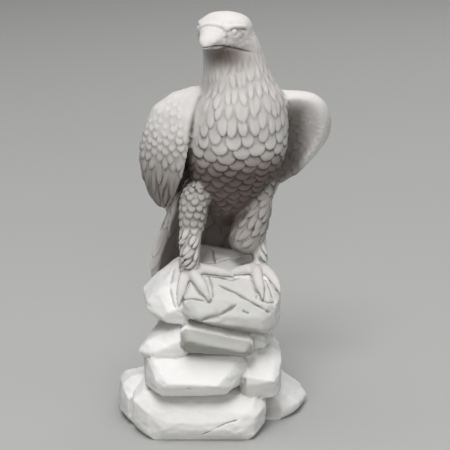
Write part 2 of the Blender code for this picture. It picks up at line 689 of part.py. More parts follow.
build_in_order(body_forms() + rock_forms() + foot_forms())
trunk = bpy.data.objects["trunk"]
part_by_plane(trunk, NECK_CUT, turned(NECK_CUT_SLOPE, 0, 1, BODY_TURN), "neck")
stand_on_origin()
give_materials()
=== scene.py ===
# %% [markdown]
# # An eagle in cast stone
# This is a garden statue: an eagle on a pile of rock slabs, poured in one mould from pale cast
# stone. Everything on it, from the bill to the base, is the same rough stone, so the lesson is
# about relief: how feathers, scales, claws and cracked rock are carved into one skin.
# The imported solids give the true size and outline. The skins below start as copies of them.

# %% Load the frame
import math
import random

import bmesh
import bpy
import numpy as np
from mathutils import Matrix, Vector
from mathutils.bvhtree import BVHTree
from mathutils.kdtree import KDTree


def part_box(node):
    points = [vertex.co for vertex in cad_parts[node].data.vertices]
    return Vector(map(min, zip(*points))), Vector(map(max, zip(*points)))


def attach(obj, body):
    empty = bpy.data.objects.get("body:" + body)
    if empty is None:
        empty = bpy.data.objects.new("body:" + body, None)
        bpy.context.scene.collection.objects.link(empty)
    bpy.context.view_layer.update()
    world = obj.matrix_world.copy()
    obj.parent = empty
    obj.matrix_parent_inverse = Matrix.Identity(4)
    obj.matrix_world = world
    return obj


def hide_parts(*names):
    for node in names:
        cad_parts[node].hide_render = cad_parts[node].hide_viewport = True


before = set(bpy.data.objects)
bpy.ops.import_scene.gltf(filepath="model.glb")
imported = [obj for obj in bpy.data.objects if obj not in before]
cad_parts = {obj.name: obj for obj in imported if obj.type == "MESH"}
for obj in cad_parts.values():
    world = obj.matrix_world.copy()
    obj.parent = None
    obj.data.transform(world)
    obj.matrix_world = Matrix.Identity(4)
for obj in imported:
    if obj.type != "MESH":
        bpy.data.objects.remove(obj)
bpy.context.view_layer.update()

MM = 0.001

# %% [markdown]
# ## Which solids belong to the bird, and which to the rocks
# A casting has no seams, but it has two kinds of surface: the bird, which the sculptor finished
# feather by feather, and the rocks, which were left broad and broken. Each gets one skin. The
# names of the solids say which is which, so they are sorted by name rather than by hand.

# %% Sort the nodes
rock_nodes = sorted(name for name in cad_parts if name.startswith(("rock_", "slab_")))
eye_nodes = ["eye_left", "eye_right"]
bird_nodes = sorted(set(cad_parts) - set(rock_nodes) - set(eye_nodes))
print(len(bird_nodes), "bird nodes and", len(rock_nodes), "rock nodes")

# %% [markdown]
# ## Reading and writing a mesh as arrays
# A skin of some hundred thousand points is too slow to move one vertex at a time. Blender hands
# over all the places at once with foreach_get, and NumPy works on them together. The last helper
# draws values towards the mean of their neighbours, which makes everything soft on this statue.

# %% Arrays from a mesh
def rows_of(items, key, width, kind=float):
    """One property of many mesh elements as an array, with a row of the given width for each."""
    flat = np.empty(len(items) * width, dtype=kind)
    items.foreach_get(key, flat)
    return flat.reshape(-1, width)


def points_of(mesh):
    """All vertex places."""
    return rows_of(mesh.vertices, "co", 3)


def normals_of(mesh):
    """All vertex normals."""
    return rows_of(mesh.vertices, "normal", 3)


def move_points(mesh, points):
    """Puts every vertex at its row of the array."""
    mesh.vertices.foreach_set("co", np.ascontiguousarray(points).ravel())
    mesh.update()


def write_values(mesh, name, values):
    """Keeps one number for each vertex as a named attribute, which a material can read."""
    layer = mesh.attributes.get(name) or mesh.attributes.new(name, "FLOAT", "POINT")
    layer.data.foreach_set("value", np.asarray(values, dtype=np.float32))


class Spread:
    """Averages values over neighbouring vertices of one mesh."""

    def __init__(self, mesh):
        ends = rows_of(mesh.edges, "vertices", 2, np.int32)
        self.first = np.concatenate([ends[:, 0], ends[:, 1]])
        self.second = np.concatenate([ends[:, 1], ends[:, 0]])
        self.size = len(mesh.vertices)
        self.count = np.maximum(np.bincount(self.first, minlength=self.size), 1)

    def mean(self, values):
        """The mean over each vertex's neighbours of one number a vertex."""
        return np.bincount(self.first, values[self.second], self.size) / self.count

    def soften(self, values, rounds, strength=0.5):
        """Values, or rows of them, drawn towards their neighbours' mean for some rounds."""
        columns = values[:, None] if values.ndim == 1 else values
        soft = columns.copy()
        for _ in range(rounds):
            for axis in range(soft.shape[1]):
                column = soft[:, axis]
                soft[:, axis] = column + (self.mean(column) - column) * strength
        return soft[:, 0] if values.ndim == 1 else soft


corners = sum(len(node.data.vertices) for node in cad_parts.values())
print("the solids have", corners, "corners in all")

# %% [markdown]
# ## One skin over many solids
# The solids meet with hair-thin cuts, which a casting doesn't have. So each is copied and swollen
# by a fraction of a millimetre, and a voxel remesh wraps all of them in a single even net. Some
# balls, like pellets of clay, first fill the gap between the breast and the right wing's root.

# %% Wrap the nodes in one skin
SWELL = 0.4 * MM
SAME_CORNER = 0.02 * MM


def new_object(name, data):
    """An object in the scene around a mesh, a light or a camera."""
    obj = bpy.data.objects.new(name, data)
    bpy.context.scene.collection.objects.link(obj)
    return obj


def object_from(name, shape):
    """Turns a bmesh into an object in the scene."""
    mesh = bpy.data.meshes.new(name)
    shape.to_mesh(mesh)
    shape.free()
    return new_object(name, mesh)


def swollen_copies(name, nodes, corner, balls):
    """One object with a slightly swollen copy of every named solid, and balls in their gaps."""
    merged = bmesh.new()
    for node in nodes:
        piece = bmesh.new()
        piece.from_mesh(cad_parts[node].data)
        bmesh.ops.remove_doubles(piece, verts=piece.verts, dist=SAME_CORNER)
        piece.normal_update()
        for vertex in piece.verts:
            vertex.co += vertex.normal * SWELL
        mesh = bpy.data.meshes.new("swollen")
        piece.to_mesh(mesh)
        piece.free()
        merged.from_mesh(mesh)
        bpy.data.meshes.remove(mesh)
    for *step, radius in balls:
        place = Matrix.Translation(Vector(corner) + Vector(step) * MM)
        bmesh.ops.create_icosphere(merged, subdivisions=3, radius=radius * MM, matrix=place)
    return object_from(name, merged)


def apply_modifier(obj, kind, **settings):
    """Adds one modifier, sets it, and keeps its result as the mesh."""
    modifier = obj.modifiers.new(kind.lower(), kind)
    for setting, value in settings.items():
        setattr(modifier, setting, value)
    graph = bpy.context.evaluated_depsgraph_get()
    result = bpy.data.meshes.new_from_object(obj.evaluated_get(graph))
    obj.modifiers.clear()
    obj.data = result


def keep_outer_skin(obj):
    """Deletes every island but the largest, and returns how many went."""
    shape = bmesh.new()
    shape.from_mesh(obj.data)
    unseen = set(shape.verts)
    islands = []
    while unseen:
        island = [unseen.pop()]
        for vertex in island:
            for edge in vertex.link_edges:
                other = edge.other_vert(vertex)
                if other in unseen:
                    unseen.remove(other)
                    island.append(other)
        islands.append(island)
    islands.sort(key=len)
    for island in islands[:-1]:
        bmesh.ops.delete(shape, geom=island, context="VERTS")
    shape.to_mesh(obj.data)
    shape.free()
    return len(islands) - 1


def wrapped(name, nodes, corner=(0, 0, 0), balls=()):
    """One closed net of quads over the named solids and the balls."""
    obj = swollen_copies(name, nodes, corner, balls)
    apply_modifier(obj, "REMESH", mode="VOXEL", voxel_size=VOXEL, use_smooth_shade=True)
    dropped = keep_outer_skin(obj)
    print(name, len(obj.data.polygons), "quads,", dropped, "inner pockets dropped")
    return obj


VOXEL = 2.2 * MM
# The right wing grows out of the breast along these balls, and below them it stands free: each
# is a place and a radius in millimetres, from the trunk's lowest corner.
WING_ROOT = (
    (15, 42, 184, 7), (13.5, 45, 172, 8), (12, 46, 161, 8), (10, 49, 150, 8), (8.5, 54, 141, 7),
)
bird = wrapped("eagle_skin", bird_nodes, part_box("trunk")[0], WING_ROOT)
rocks = wrapped("rock_base_skin", rock_nodes)

# %% [markdown]
# ## Which part of the bird is this?
# The finish changes from part to part: the breast has broad scales, the neck fine strokes, the
# toes hard plates. So each vertex of the skin is told which solid it lies nearest. One search tree
# over all the solids answers that for every vertex.

# %% Nearest solid for every vertex
def tree_over(meshes):
    """One search tree over the faces of some meshes, and for each face the number of its mesh."""
    corners = []
    faces = []
    owner = []
    for number, mesh in enumerate(meshes):
        start = len(corners)
        corners.extend(vertex.co.copy() for vertex in mesh.vertices)
        for polygon in mesh.polygons:
            faces.append([start + corner for corner in polygon.vertices])
            owner.append(number)
    return BVHTree.FromPolygons(corners, faces), owner


def nearest_nodes(points, nodes):
    """The number in nodes of the solid that lies nearest each point."""
    tree, owner = tree_over([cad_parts[node].data for node in nodes])
    return np.array([owner[tree.find_nearest(point)[2]] for point in points.tolist()])


def by_node(part, nodes, table, default):
    """One value a vertex, by the first table key that its node's name starts with."""
    row = []
    for node in nodes:
        found = [value for start, value in table.items() if node.startswith(start)]
        row.append(found[0] if found else default)
    return np.array(row, dtype=float)[part]


bird_part = nearest_nodes(points_of(bird.data), bird_nodes)
print("largest parts:", [bird_nodes[k] for k in np.argsort(-np.bincount(bird_part))[:5]])

# %% [markdown]
# ## Softening the facets
# The solids are faceted. Averaging each vertex with its neighbours rounds that off, but it also
# shrinks thin things like claws and wing rims. So each part has its own softness, and what the
# smoothing took away is itself smoothed and given back, which keeps the broad shape in place.

# %% Smooth the bird
SOFTNESS = {
    "trunk": 1.0, "neck": 1.0, "wing": 0.8, "flight": 0.7, "tail": 0.7, "thigh": 0.8,
    "shank": 0.6, "head": 0.35, "bill": 0.15, "toe": 0.3, "claw": 0.06,
}
BIRD_ROUNDS = 60
ROCK_SOFTNESS = 0.7
ROCK_ROUNDS = 2
BLEND_ROUNDS = 8


def smooth_skin(obj, softness, rounds):
    """Rounds the skin off by its softness at each vertex, without shrinking its broad shape."""
    spread = Spread(obj.data)
    strength = spread.soften(softness, BLEND_ROUNDS) * 0.5
    start = points_of(obj.data)
    smooth = spread.soften(start, rounds, strength)
    points = smooth + spread.soften(start - smooth, rounds, strength)
    move_points(obj.data, points)
    return np.linalg.norm(points - start, axis=1).mean()


moved = smooth_skin(bird, by_node(bird_part, bird_nodes, SOFTNESS, 0.5), BIRD_ROUNDS)
print("mean move on the bird", round(moved / MM, 2), "mm")
moved = smooth_skin(rocks, np.full(len(rocks.data.vertices), ROCK_SOFTNESS), ROCK_ROUNDS)
print("mean move on the rocks", round(moved / MM, 2), "mm")

# %% [markdown]
# ## Soft hollows
# The modeller's thumb left the hollows of the half-open wing and the tail without any edge, and
# blurred the step between the right wing and the breast. Plain averaging, with nothing given
# back, makes strokes like these: all over the two hollow parts, and along a path at the step.

# %% Soften the hollows
def groove_depth(distance, width):
    """1 on the line, falling smoothly to 0 a little beyond the width."""
    return np.exp(-((distance / width) ** 2))


def from_path(points, path):
    """The distance of each point from a path of straight stretches, in metres."""
    nearest = np.full(len(points), np.inf)
    for start, end in zip(path[:-1], path[1:]):
        stretch = end - start
        share = np.clip((points - start) @ stretch / (stretch @ stretch), 0, 1)
        gaps = points - start - share[:, None] * stretch
        nearest = np.minimum(nearest, np.linalg.norm(gaps, axis=1))
    return nearest


def placed(corner, steps):
    """A path in world axes from points in millimetres measured from a corner."""
    return np.array(corner) + np.array(steps, dtype=float) * MM


def blur(points, weight, rounds):
    """Points averaged with their neighbours for some rounds, as far as their weight allows."""
    return points + (bird_spread.soften(points, rounds) - points) * weight[:, None]


# The step between the right wing and the breast, from the neck down.
WING_CREASE = placed(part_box("trunk")[0], (
    (24, 58, 236), (21, 53, 226), (16, 44, 211), (13, 38, 196), (11.5, 36.5, 184), (11, 37, 172),
    (9, 38, 160), (7, 42, 146),
))
HOLLOW_PARTS = {"wing_left": 1.0, "tail": 1.0}
HOLLOW_RIM_ROUNDS = 12
HOLLOW_ROUNDS = 45
CREASE_REACH = 8 * MM
CREASE_ROUNDS = 40

bird_spread = Spread(bird.data)
hollowed = by_node(bird_part, bird_nodes, HOLLOW_PARTS, 0.0)
points = points_of(bird.data)
points = blur(points, bird_spread.soften(hollowed, HOLLOW_RIM_ROUNDS), HOLLOW_ROUNDS)
beside = groove_depth(from_path(points, WING_CREASE), CREASE_REACH)
points = blur(points, beside, CREASE_ROUNDS)
move_points(bird.data, points)
print("hollow vertices", int(hollowed.sum()), "and beside the step", int((beside > 0.5).sum()))

# %% [markdown]
# ## Where the sky can't reach
# The stone was tinted with a thin brown wash and wiped, so the wash stayed in hollows, and the same
# hollows lie in shade: this darkening paints both the wash and the shade. A hollow is a place that
# sees little of the sky: rays are sent out from each vertex, and the share that hits the statue
# again is kept as its shelter.

# %% Measure shelter
SHELTER_RAYS = 10
SHELTER_REACH = 90 * MM
RAY_START = 1.5 * MM
# A little more than 1 keeps each ray on the open side of the skin.
RAY_LEAN = 1.02


def ramp(values, low, high):
    """0 below low, 1 above high, and a smooth step between."""
    t = np.clip((values - low) / (high - low), 0, 1)
    return t * t * (3 - 2 * t)


def unit(vector):
    """A vector, or rows of vectors, at length one."""
    array = np.asarray(vector, dtype=float)
    return array / np.maximum(np.linalg.norm(array, axis=-1, keepdims=True), 1e-9)


def sphere_directions(count):
    """Directions spread evenly over a sphere, on a golden spiral."""
    steps = np.arange(count) + 0.5
    height = 1 - 2 * steps / count
    turn = math.pi * (1 + 5**0.5) * steps
    ring = np.sqrt(1 - height**2)
    return np.stack([ring * np.cos(turn), ring * np.sin(turn), height], axis=1)


def shelter_of(obj, tree):
    """From 0, open sky, to 1, closed in, for each vertex of a skin."""
    normals = normals_of(obj.data)
    starts = (points_of(obj.data) + normals * RAY_START).tolist()
    hits = np.zeros(len(starts))
    for direction in sphere_directions(SHELTER_RAYS):
        aims = unit(normals * RAY_LEAN + direction).tolist()
        hits += [tree.ray_cast(*ray, SHELTER_REACH)[3] is not None for ray in zip(starts, aims)]
    return Spread(obj.data).soften(hits / SHELTER_RAYS, BLEND_ROUNDS)


# Each part keeps its own share of the wash and painted shade, the toes and claws little. The tops
# of the rocks keep the least, so they are painted lighter, as lit tops.
WASH_AND_SHADE_KEPT = {
    "toe": 0.25, "claw": 0.2, "head": 0.5, "bill": 0.3, "wing_right": 0.7, "wing_left": 0.5,
    "tail": 0.3,
}
LIT_TOPS = 0.85

statue_tree = tree_over([bird.data, rocks.data])[0]
bird_share = bird_spread.soften(by_node(bird_part, bird_nodes, WASH_AND_SHADE_KEPT, 1.0), 10)
rock_share = 1 - LIT_TOPS * ramp(normals_of(rocks.data)[:, 2], 0.2, 0.7)
for skin, share in ((bird, bird_share), (rocks, rock_share)):
    shelter = shelter_of(skin, statue_tree) * share
    write_values(skin.data, "shelter", shelter)
    print(skin.name, "mean shelter", round(float(shelter.mean()), 3))


# %% [markdown]
# ## A finer net for the carving
# Feather edges are finer than the net so far. Every quad is split in four, by a new vertex on each
# edge and one in each middle, and a little smoothing rounds the result. A subdivision modifier
# does the same, but arrays are faster here, and the shelter can be averaged on the way.

# %% Split every quad in four
def split_quads(obj):
    """Replaces a net of quads by one of half the spacing. Returns each vertex's old neighbour."""
    old = obj.data
    count = len(old.polygons)
    corner = rows_of(old.loops, "vertex_index", 1, np.int32).reshape(-1, 4)
    edge = rows_of(old.loops, "edge_index", 1, np.int32).reshape(-1, 4)
    ends = rows_of(old.edges, "vertices", 2, np.int32)

    def on_new_net(values):
        return np.concatenate([values, values[ends].mean(axis=1), values[corner].mean(axis=1)])

    first_edge = len(old.vertices)
    first_face = first_edge + len(old.edges)
    middle_of = np.repeat(np.arange(count)[:, None] + first_face, 4, axis=1)
    edge_before = np.roll(edge, 1, axis=1)
    quads = np.stack([corner, edge + first_edge, middle_of, edge_before + first_edge], axis=2)
    quads = quads.reshape(-1, 4).astype(np.int32)
    mesh = bpy.data.meshes.new(old.name)
    mesh.vertices.add(first_face + count)
    mesh.loops.add(quads.size)
    mesh.polygons.add(len(quads))
    mesh.vertices.foreach_set("co", on_new_net(points_of(old)).ravel())
    mesh.loops.foreach_set("vertex_index", quads.ravel())
    mesh.polygons.foreach_set("loop_start", np.arange(0, quads.size, 4, dtype=np.int32))
    mesh.polygons.foreach_set("use_smooth", np.ones(len(quads), dtype=bool))
    mesh.update(calc_edges=True)
    shelter = rows_of(old.attributes["shelter"].data, "value", 1, np.float32)[:, 0].astype(float)
    write_values(mesh, "shelter", on_new_net(shelter))
    obj.data = mesh
    move_points(mesh, Spread(mesh).soften(points_of(mesh), 2, 0.4))
    return np.concatenate([np.arange(first_edge), ends[:, 0], corner[:, 0]])


bird_part = bird_part[split_quads(bird)]
split_quads(rocks)
for skin in (bird, rocks):
    print(skin.name, len(skin.data.vertices), "vertices")

bird_points = points_of(bird.data)
bird_normals = normals_of(bird.data)
bird_spread = Spread(bird.data)


def on_parts(*starts):
    """A mask of the bird's vertices on nodes whose names start with one of the words."""
    wanted = [number for number, node in enumerate(bird_nodes) if node.startswith(starts)]
    return np.isin(bird_part, wanted)


# %% [markdown]
# ## Noise that is the same every time
# Stone needs irregular lumps at several sizes. Random numbers on the corners of a grid, blended
# smoothly in between, give soft lumps of the grid's size. A fixed formula gives the numbers, so
# that the statue is the same each time it is made.

# %% Lumps
def corner_numbers(cells, seed):
    """A repeatable number from -1 to 1 for each whole-numbered corner."""
    mixed = cells[:, 0] * 12.9898 + cells[:, 1] * 78.233 + cells[:, 2] * 37.719 + seed * 17.17
    waves = np.sin(mixed) * 43758.5453
    return 2 * (waves - np.floor(waves)) - 1


def lumps(points, size, seed):
    """Smooth noise from -1 to 1, with lumps of about the given size."""
    scaled = points / size + 100.5
    low = np.floor(scaled)
    part = scaled - low
    part = part * part * (3 - 2 * part)
    total = np.zeros(len(points))
    for step in np.ndindex(2, 2, 2):
        weight = np.prod(np.where(step, part, 1 - part), axis=1)
        total += weight * corner_numbers(low + step, seed)
    return total


sample = np.percentile(lumps(bird_points, 20 * MM, 1), (1, 99))
print("nearly all lumps lie between", sample.round(2))

# %% [markdown]
# ## The head's own axes
# The head looks to one side, so its features are placed along its own axes. The two eyeballs fix
# them: the origin is midway between the eyes, sideways runs from one to the other, and forward
# is level and square to that, on the side of the bill.

# %% Head axes
def middle(node):
    """The middle of a node's box."""
    low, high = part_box(node)
    return (low + high) / 2


eye_middle = (middle("eye_left") + middle("eye_right")) / 2
head_side = (middle("eye_left") - middle("eye_right")).normalized()
head_ahead = Vector((0, 0, 1)).cross(head_side).normalized()
if head_ahead.dot(middle("bill_upper") - eye_middle) < 0:
    head_ahead = -head_ahead
head_axes = np.array([head_ahead, head_side, (0, 0, 1)])
print("the head faces", head_axes[0].round(2))


def along_head(points):
    """Places measured ahead, to the left and up from the point midway between the eyes."""
    return (points - np.array(eye_middle)) @ head_axes.T


# %% [markdown]
# ## Which way the feathers lie
# Feathers overlap like roof tiles, all lying the same way. Each part of the bird has its own lie,
# and softening the directions over the skin lets one lie turn into the next.

# %% The lie of the feathers
# The body's feathers hang down and flare a little outward, and the head's run back from the bill.
FLARE = 0.12
HEAD_FALL = -0.45
LIES = {
    "wing_right": (-0.22, 0.30, -1.0), "wing_left": (-0.70, 0.25, -0.65),
    "flight_right": (0.30, 0.42, -1.0), "flight_left": (-0.42, 0.28, -1.0),
    "thigh_right": (0.0, -0.1, -1.0), "thigh_left": (-0.75, -0.25, -0.9),
    "shank_right": (-0.85, 0.1, -0.9), "shank_left": (0.5, -0.2, -0.9),
    "tail": (-0.33, 0.22, -1.0),
}
LIE_ROUNDS = 25

lie = np.tile((0.0, 0.0, -1.0), (len(bird_points), 1))
lie += unit((bird_points - np.array(middle("trunk"))) * (1, 1, 0)) * FLARE
for start, direction in LIES.items():
    lie[on_parts(start)] = unit(direction)
lie[on_parts("head")] = unit(-np.array(head_ahead) + (0, 0, HEAD_FALL))
lie = bird_spread.soften(lie, LIE_ROUNDS)
lie -= bird_normals * np.sum(lie * bird_normals, axis=1)[:, None]
lie = unit(lie)
print("lie of the first vertex", lie[0].round(2))

# %% [markdown]
# ## How big is a feather here?
# On the neck the feathers are long and thin, and they widen into broad round scales on the
# breast. The wings start with small scallops and end in long flight feathers. So each part has a
# table along one axis, and values in between are blended. Its columns are: share of the part's
# reach, spacing along and across the lie and height in millimetres, and how pointed the tip is.

# %% Feather sizes
UPWARD = (0, 0, 1)
OUTWARD_LEFT = (1, 0, 0)
SIZES = {
    ("trunk", "neck"): (UPWARD, (
        (0.00, 10, 17, 3.2, 0.2), (0.22, 12, 22, 3.9, 0.2),
        (0.36, 14, 24, 3.9, 0.1), (0.44, 19, 25, 3.4, 0.0),
        (0.52, 21, 23, 2.7, 0.0), (0.58, 25, 15, 1.9, 0.2),
        (0.66, 28, 11, 1.35, 0.4), (0.78, 26, 8, 0.95, 0.6),
        (0.90, 22, 6, 0.65, 0.8), (1.00, 18, 5.5, 0.5, 1.0),
    )),
    ("head",): (UPWARD, (
        (0.00, 14, 4.5, 0.9, 1.0), (0.45, 10, 4, 0.55, 1.0),
        (0.65, 7, 4, 0.1, 1.0), (1.00, 7, 4, 0.05, 1.0),
    )),
    ("wing_right",): (UPWARD, (
        (0.00, 48, 7.5, 2.4, 0.7), (0.36, 40, 7, 2.4, 0.7),
        (0.48, 20, 8.5, 1.8, 0.5), (0.57, 12, 11, 1.6, 0.3),
        (0.70, 12, 12, 1.3, 0.3), (0.78, 12, 11, 0.6, 0.3),
        (1.00, 12, 10, 0.12, 0.3),
    )),
    ("wing_left",): (OUTWARD_LEFT, (
        (0.00, 40, 11, 2.2, 0.5), (0.40, 26, 11, 2.2, 0.4),
        (0.62, 14, 11, 1.6, 0.3), (0.74, 12, 9, 0.6, 0.3),
        (0.86, 12, 6, 0.35, 0.4), (1.00, 12, 6, 0.3, 0.4),
    )),
    ("flight",): (UPWARD, ((0.0, 60, 13, 2.0, 0.5), (1.0, 50, 12, 2.0, 0.5))),
    ("tail",): (UPWARD, ((0.0, 80, 15, 1.3, 0.5), (1.0, 40, 14, 1.6, 0.5))),
    ("thigh_right",): (UPWARD, ((0.0, 12, 12, 2.0, 0.2), (1.0, 10, 11, 2.4, 0.2))),
    ("thigh_left",): (UPWARD, (
        (0.00, 26, 10, 0.5, 0.6), (0.25, 26, 9.5, 1.2, 0.6),
        (0.50, 24, 9, 2.2, 0.6), (0.80, 18, 10, 2.2, 0.4),
        (1.00, 11, 11, 2.4, 0.2),
    )),
    ("shank",): (UPWARD, (
        (0.0, 12, 6.5, 1.0, 0.8), (0.22, 22, 7.5, 3.0, 0.8), (1.0, 22, 8, 3.2, 0.7),
    )),
}

# For each vertex: spacing along and across, height and tip, all zero where none grow.
sizes = np.zeros((len(bird_points), 4))
for starts, (axis, rows) in SIZES.items():
    mask = on_parts(*starts)
    reach = bird_points[mask] @ np.array(axis)
    share = (reach - reach.min()) / (reach.max() - reach.min())
    table = np.array(rows)
    for column in range(4):
        sizes[mask, column] = np.interp(share, table[:, 0], table[:, column + 1])
sizes[:, :3] *= MM
print("vertices under feathers", int((sizes[:, 2] > 0).sum()))

# %% [markdown]
# ## Laying out the feathers
# The roots are picked by walking down the skin in a slightly shuffled order. A vertex is kept only
# if no kept one is closer than a feather's spacing, measured separately along and across the lie.
# That gives an even but unmechanical pattern, as a sculptor's hand does.

# %% Scatter the feathers
CANDIDATES = 60000
# Vertices this far apart through the body don't crowd each other.
THROUGH = 12 * MM


def scatter(points, lie, normals, sizes, seed):
    """Vertex numbers at which feathers are rooted, spaced along and across their lie."""
    draw = np.random.default_rng(seed)
    grown = np.flatnonzero(sizes[:, 2] > 0)
    grown = draw.choice(grown, min(CANDIDATES, len(grown)), replace=False)
    jitter = draw.uniform(0, 0.6, len(grown)) * sizes[grown, 0]
    order = grown[np.argsort(-(points[grown, 2] + jitter))]
    kept = []
    places = np.zeros((len(order), 3))
    facings = np.zeros((len(order), 3))
    for number in order:
        count = len(kept)
        gaps = places[:count] - points[number]
        side = np.cross(normals[number], lie[number])
        far = (gaps @ lie[number] / sizes[number, 0]) ** 2 + (gaps @ side / sizes[number, 1]) ** 2
        through = (gaps @ normals[number] / THROUGH) ** 2
        alike = facings[:count] @ normals[number] > 0
        if not np.any((far + through < 1) & alike):
            places[count] = points[number]
            facings[count] = normals[number]
            kept.append(number)
    return np.array(kept)


roots = scatter(bird_points, lie, bird_normals, sizes, seed=4)
print(len(roots), "feathers")

# %% [markdown]
# ## Carving one feather
# Along its length, a carved feather starts sunk under the one above, rises to its tip, and ends
# in a small step. Across, it is a low arch that falls off at both sides, so a groove is left
# between neighbours. Where several feathers meet, the highest wins.

# %% Relief of the feathers
# How much longer and wider a feather is than the spacing, how unlike its neighbours it may be in
# width and height, and how far it swings from the lie, in degrees.
OVERLAP = 1.95
BREADTH = 1.27
WIDTHS = (0.88, 1.12)
HEIGHTS = (0.8, 1.2)
SWINGS = (-12, 12)
EDGE = 3.6 * MM


def feather_height(u, v, long, wide, tip):
    """Height from 0 to 1 of a feather: u from root to tip, v from -1 to 1 across.
    A tip of 0 is round and one of 1 is drawn out to a point."""
    start = min(max(1 - (0.55 + 0.9 * tip) * wide / long, 0.25), 0.8)
    past = np.clip((u - start) / (1 - start), 0, 1)
    half = (1 - past ** (2.3 - 0.8 * tip)) ** (0.5 + 0.35 * tip)
    inside = (half - np.abs(v)) * wide / 2
    inside = np.minimum(inside, (1 - u) * long)
    rounding = np.clip(inside / min(EDGE, wide * 0.3), 0, 1)
    lip = np.sin(rounding * math.pi / 2) ** 0.8
    rise = ramp(u, 0.38, 0.94)
    arch = 1 - 0.25 * v * v
    height = (0.08 + 0.92 * rise) * (0.06 + 0.94 * lip) * arch
    return np.where((inside > 0) & (u > 0), height, 0)


def carve_feathers(points, normals, lie, sizes, roots, seed):
    """The height of the feather relief at every vertex, in metres."""
    draw = random.Random(seed)
    tree = KDTree(len(points))
    for number, place in enumerate(points.tolist()):
        tree.insert(place, number)
    tree.balance()
    relief = np.zeros(len(points))
    for root in roots:
        along, across, height, tip = sizes[root]
        long = along * OVERLAP
        wide = across * BREADTH * draw.uniform(*WIDTHS)
        height *= draw.uniform(*HEIGHTS)
        direction = lie[root]
        normal = normals[root]
        swing = math.radians(draw.uniform(*SWINGS))
        side = np.cross(normal, direction)
        direction = direction * math.cos(swing) + side * math.sin(swing)
        side = np.cross(normal, direction)
        centre = points[root] + direction * long * 0.1
        near = np.array([item[1] for item in tree.find_range(centre.tolist(), long * 0.62)])
        gaps = points[near] - points[root]
        u = (gaps @ direction + along * 0.9) / long
        v = (gaps @ side) / (wide / 2)
        same_side = normals[near] @ normal >= 0.2
        here = feather_height(u, v, long, wide, tip) * height * same_side
        relief[near] = np.maximum(relief[near], here)
    return relief


relief = carve_feathers(bird_points, bird_normals, lie, sizes, roots, seed=9)
print("feather relief up to", round(relief.max() / MM, 2), "mm")

# %% [markdown]
# ## Places that weather has rubbed smooth
# Two places have lost their feathers: the shoulder beside the neck, and the top of the left wing,
# where rain runs off. Elsewhere the relief has to fade where it reaches a bare toe or bill. One
# weight does both: it is 1 under feathers, and drops softly towards the bare places.

# %% Fade the feathers
RUBBED_AWAY = 0.9
FADE_ROUNDS = 6


def share_of(node, axis):
    """From 0 to 1 along one world axis of a solid's box, for each vertex of the bird."""
    low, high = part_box(node)
    return (bird_points[:, axis] - low[axis]) / (high[axis] - low[axis])


inward = bird_points[:, 0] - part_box("trunk")[0].x
shoulder = ramp(inward, -8 * MM, 0.0) * ramp(38 * MM - inward, 0.0, 12 * MM)
shoulder *= ramp(share_of("trunk", 2), 0.66, 0.74) * on_parts("trunk", "neck", "wing_right")
wing_top = ramp(share_of("wing_left", 2), 0.70, 0.85) * on_parts("wing_left")
rubbed = RUBBED_AWAY * np.maximum(shoulder, wing_top)
feathered = bird_spread.soften((sizes[:, 2] > 0) * (1 - rubbed), FADE_ROUNDS)
relief *= feathered
print("share of the bird under feathers", round(float(feathered.mean()), 2))

# %% [markdown]
# ## Carving the head
# The face is where a statue is recognised, so its marks are placed one by one: the line of the
# mouth, the edge of the forehead over the bill, the hollow under the brow, the lids round the
# eye, and a nostril. Each is a groove or a ridge whose depth fades with the distance from a line
# drawn in the head's own axes.

# %% Marks on the head
# Two lines in the head's own axes, each as places ahead and their heights, in millimetres.
MOUTH = ((-34, -26, -18, -8, 4, 16, 28, 40), (-35.5, -34.5, -32.5, -29, -24.5, -21.5, -21, -22))
BROW = ((-26, -14, -4, 6, 13), (0.0, 3.0, 5.0, 4.6, 0.5))


def carve_head(points, relief):
    """Adds the marks of the face to the relief. They are worked out in millimetres."""
    ahead, side, up = along_head(points).T / MM
    out = np.abs(side)
    face = (ahead > -60) & (up > -44) & (out < 60)
    marks = np.zeros(len(points))

    line = np.interp(ahead, MOUTH[0], MOUTH[1])
    marks -= face * groove_depth(up - line, 1.9) * ramp(ahead, -34, -8) * 1.6
    above = face & (up > line)
    marks -= (above & (ahead > 11)) * ramp(ahead, 11, 15) * 0.7
    marks -= above * groove_depth(ahead - 12.5, 2.0) * 0.7

    # The marks round the right eye are worn to half their depth.
    eye_side = (face & (out > 17)) * np.where(side > 0, 1.0, 0.5)
    from_eye = np.hypot(ahead, up)
    opening = 3.3 * (1 - (ahead / 8.5) ** 2)
    lids = ramp(np.abs(up - 0.4) - opening, -1.0, 1.2) * groove_depth(from_eye, 9.5)
    marks += eye_side * lids * 1.5
    hollow = groove_depth(from_eye - 12, 4) * ramp(-up, 1, 5)
    marks -= (face & (out > 17)) * hollow * 0.6

    over_brow = up - np.interp(ahead, BROW[0], BROW[1])
    under_brow = groove_depth(over_brow, 2.0)
    under_brow *= ramp(ahead, -26, -16) * (1 - ramp(ahead, 10, 14))
    marks -= eye_side * under_brow * 1.2
    brow = groove_depth(over_brow - 4.5, 3.5) * ramp(ahead, -26, -12) * (1 - ramp(ahead, 6, 13))
    marks += (face & (side > 17)) * brow

    nostril = groove_depth(np.hypot((ahead - 16) / 1.7, up + 7), 1.6)
    marks -= (face & (out > 8)) * nostril * 0.6
    result = relief + marks * MM
    worn_away = bird_spread.soften(face & (ahead < 12) & (up > -20), 4)
    return result + (bird_spread.soften(result, 5) - result) * worn_away


plain = relief
relief = carve_head(bird_points, relief)
print("vertices marked on the head", int((np.abs(relief - plain) > 0.05 * MM).sum()))

# %% [markdown]
# ## The crease beside the breast
# Where the folded right wing lies against the breast, the modeller left a deep soft crease up to
# the neck. It follows the same path as the step that was softened, and each vertex gets a depth
# from its distance to the path, which fades upward.

